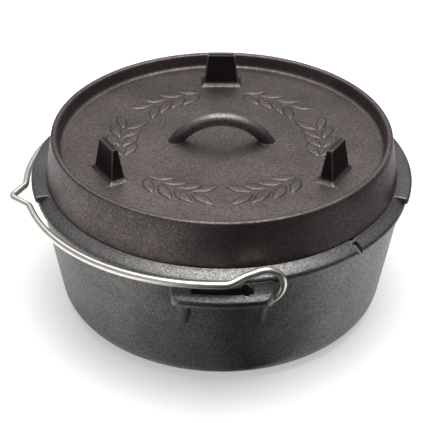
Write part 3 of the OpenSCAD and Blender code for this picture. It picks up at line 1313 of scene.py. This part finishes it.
    def leaf(self, bm: BMesh, place: Matrix) -> None:
        """Adds one low leaf with pointed ends and a flat back, half sunk in the plate.

        Args:
            bm: The mesh that gets it.
            place: Where it lies.
        """
        verts = bmesh.ops.create_uvsphere(bm, u_segments=24, v_segments=18, radius=1)["verts"]
        for vert in verts:
            vert.co.y *= max(0.0, 1 - vert.co.x**2) ** self.leaf_point
            vert.co.z = min(vert.co.z, self.leaf_flat)
        size = mm(self.leaf_l / 2, self.leaf_w / 2, self.leaf_h / self.leaf_flat)
        bmesh.ops.scale(bm, vec=size, verts=verts)
        bmesh.ops.transform(bm, matrix=place, verts=verts)

    def sprays(self) -> Object:
        """Makes three pairs of low leaf sprays, one pair between each two feet.

        Returns:
            All the leaves.
        """
        bm = bmesh.new()
        for middle, side, i, splay in product((30, 150, 270), (-1, 1), range(self.spray_pairs), (-1, 1)):
            bearing = middle + side * self.spray_half * (1 - i / self.spray_pairs)
            place = (
                about(Z_AXIS, bearing)
                @ shift(self.spray_r + splay * self.leaf_apart, 0, self.tray_z - self.leaf_sunk)
                @ about(Z_AXIS, side * (splay * self.leaf_splay - 90))
            )
            self.leaf(bm, place)
        return solid_object(bm, "sprays")

    def rubbed_or_painted_light(self, place: Vector) -> float:
        """Tells how far the handle's back is rubbed, or how far a foot is darkened with painted shade.

        Args:
            place: The place, in metres.

        Returns:
            The rubbing there, below 0 for painted shade on the feet.
        """
        x, y, z = place / MM
        up = z - self.tray_z
        if abs(x) < self.handle_span / 2 + 8 and abs(y) < self.handle_d:
            return self.handle_rub * faded(up, start=5, over=9)
        # Painted shade: each foot is darkened from just above its fillet up to its top.
        at_foot = abs(math.hypot(x, y) - self.foot_r) < self.foot_d
        return -self.foot_shade * faded(up, start=2, over=2) if at_foot else 0.0

    def build(self, finish: SeasonedIron) -> Object:
        """Makes the casting and dresses it.

        Args:
            finish: What the iron looks like.

        Returns:
            The dressed lid.
        """
        made = solid_object(turned(self.section(), self.steps), "lid_casting")
        work_in(made, self.handle(), Blend.JOIN)
        foot = self.foot()
        for bearing in (90, 210, 330):
            work_in(made, copy_turned(foot, bearing), Blend.JOIN)
        bpy.data.objects.remove(foot)
        work_in(made, self.sprays(), Blend.JOIN)
        finish.dress(made, self.rubbed_or_painted_light)
        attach(made, "lid")
        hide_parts("lid")
        return made


@dataclass(frozen=True)
class Softbox:
    """One soft lamp, in metres and watts."""

    name: str
    spot: Triple
    aim: Triple
    wide: float
    high: float
    watts: float

    def hang(self) -> None:
        """Hangs the lamp and turns it to what it lights."""
        data = bpy.data.lights.new(self.name, "AREA")
        data.shape = "RECTANGLE"
        data.size, data.size_y = self.wide, self.high
        data.energy = self.watts
        lamp = linked(self.name, data)
        lamp.location = self.spot
        lamp.rotation_euler = (Vector(self.aim) - Vector(self.spot)).to_track_quat("-Z", "Y").to_euler()


@dataclass(frozen=True)
class GlossCard:
    """A glowing card on the floor that only shows in gloss, a painted reflection that glows least in its
    middle, in metres.
    """

    name: str
    first: tuple[float, float]
    last: tuple[float, float]
    folds: tuple[Triple, ...]
    # Glow of the painted reflection in the card's middle and at its sides.
    middle: float = 0.01
    side: float = 0.01
    above: float = 0.002

    def stand(self) -> None:
        """Lays the card down and folds it up."""
        bm = bmesh.new()
        edge = bm.edges.new([bm.verts.new((*end, self.above)) for end in (self.first, self.last)])
        for way in self.folds:
            made = bmesh.ops.extrude_edge_only(bm, edges=[edge])["geom"]
            bmesh.ops.translate(bm, verts=verts_of(made), vec=way)
            edge = edges_of(made)[0]
        made = solid_object(bm, self.name)
        paint = Nodes(self.name)
        apart = paint.tree.nodes.new("ShaderNodeSeparateXYZ")
        paint.join(paint.place, apart.inputs[0])
        start, end = self.first[0], self.last[0] + 0.001
        centre = (start + end) / 2
        left = paint.spread(apart.outputs["X"], self.side, self.middle, (start, centre))
        right = paint.spread(apart.outputs["X"], 0.0, self.side - self.middle, (centre, end))
        # Painted reflection: the card glows, least in its middle, and only reflections see it.
        paint.glow(paint.maths("ADD", left, right))
        paint.shader.inputs["Base Color"].default_value = (0.01, 0.01, 0.01, 1)
        made.data.materials.append(paint.material)
        made.visible_camera = made.visible_diffuse = made.visible_shadow = False


@dataclass
class Studio:
    """The pale floor, the lamps, the cards and the camera."""

    floor_half: float = 5.0
    floor_white: float = 0.84
    floor_lift: float = 0.4
    room_white: float = 0.3
    eye: Triple = (-0.00698, -0.78718, 0.58259)
    target: Triple = (-0.00698, 0.0, 0.06113)
    roll: float = 0.214
    focal_px: float = 1300.0
    frame_px: float = 423.0

    def lamps(self) -> list[Softbox]:
        """Returns the lamps of the studio."""
        return [
            Softbox("overhead", (0.06, -0.1, 1.15), (0.06, -0.1, 0), wide=0.9, high=0.8, watts=11.5),
            Softbox("back", (-0.1, 0.75, 1.2), (0, 0, 0.1), wide=1.6, high=0.8, watts=6.5),
        ]

    def floor(self) -> None:
        """Lays the plain pale floor, a hair under the pot."""
        bm = bmesh.new()
        below = shift(0, 0, -0.2)
        bmesh.ops.create_grid(bm, x_segments=2, y_segments=2, size=self.floor_half, matrix=below)
        made = solid_object(bm, "floor")
        paint = Nodes("pale_floor")
        paint.shader.inputs["Base Color"].default_value = (*[self.floor_white] * 3, 1)
        paint.shader.inputs["Roughness"].default_value = 0.9
        path = paint.tree.nodes.new("ShaderNodeLightPath")
        seen = path.outputs["Is Camera Ray"]
        for other in ("Is Glossy Ray", "Is Transmission Ray"):
            seen = paint.maths("MAXIMUM", seen, path.outputs[other])
        paint.glow(paint.maths("MULTIPLY", seen, self.floor_lift))
        made.data.materials.append(paint.material)

    def cards(self) -> list[GlossCard]:
        """Returns the cards in front of the pot and to its right, painted reflections that darken the iron's
        front and right side, paler towards the near card's ends.
        """
        return [
            GlossCard("near_card", (-0.1, -0.112), (0.14, -0.112), ((0, -0.09, 0),), middle=0.06, side=0.9),
            GlossCard("front_card", (-0.14, -0.202), (1.3, -0.202), ((0, -0.258, 0), (0, 0, 0.3))),
            GlossCard("right_card", (0.31, -0.45), (0.31, 0.3), ((0.4, 0, 0), (0, 0, 0.2))),
        ]

    def world(self) -> None:
        """Lights the room evenly with a pale grey."""
        scene = bpy.context.scene
        scene.world = bpy.data.worlds.new("room")
        scene.world.use_nodes = True
        back = scene.world.node_tree.nodes["Background"]
        back.inputs["Color"].default_value = (1, 1, 1, 1)
        back.inputs["Strength"].default_value = self.room_white

    def camera(self) -> None:
        """Sets up the camera at the photograph's angle."""
        data = bpy.data.cameras.new("camera")
        data.sensor_width = 36.0
        data.lens = data.sensor_width * self.focal_px / self.frame_px
        data.clip_start, data.clip_end = 0.01, 50.0
        made = linked("camera", data)
        eye = Vector(self.eye)
        made.location = eye
        made.rotation_mode = "QUATERNION"
        facing = (Vector(self.target) - eye).to_track_quat("-Z", "Y")
        made.rotation_quaternion = facing @ Quaternion((0, 0, 1), math.radians(self.roll))
        bpy.context.scene.camera = made

    def build(self) -> None:
        """Builds the whole studio."""
        scene = bpy.context.scene
        for stray in [o for o in scene.objects if o.type in ("LIGHT", "CAMERA")]:
            bpy.data.objects.remove(stray)
        scene.view_settings.view_transform = "Standard"
        self.camera()
        self.floor()
        for card in self.cards():
            card.stand()
        self.world()
        for lamp in self.lamps():
            lamp.hang()


def main() -> None:
    """Builds the studio and the three pieces in order."""
    logging.basicConfig(level=logging.INFO, format="%(message)s")
    Studio().build()
    bail = Bail()
    pot_iron = SeasonedIron(
        "pot_iron", (0.13, 0.126, 0.124), (0.2, 0.194, 0.19), (0.4, 0.39, 0.375), smooth=0.36, dull=0.5
    )
    lid_iron = SeasonedIron(
        "lid_iron", (0.13, 0.11, 0.107), (0.2, 0.17, 0.165), (0.4, 0.375, 0.36), smooth=0.4, dull=0.54
    )
    pieces = [
        Pot().build(pot_iron, bail),
        Lid().build(lid_iron),
        bail.build(BrightWire("bail_steel", (0.88, 0.85, 0.79), roughness=0.34)),
    ]
    for piece in pieces:
        LOG.info("%s: %d faces", piece.name, len(piece.data.polygons))


if __name__ == "__main__":
    main()
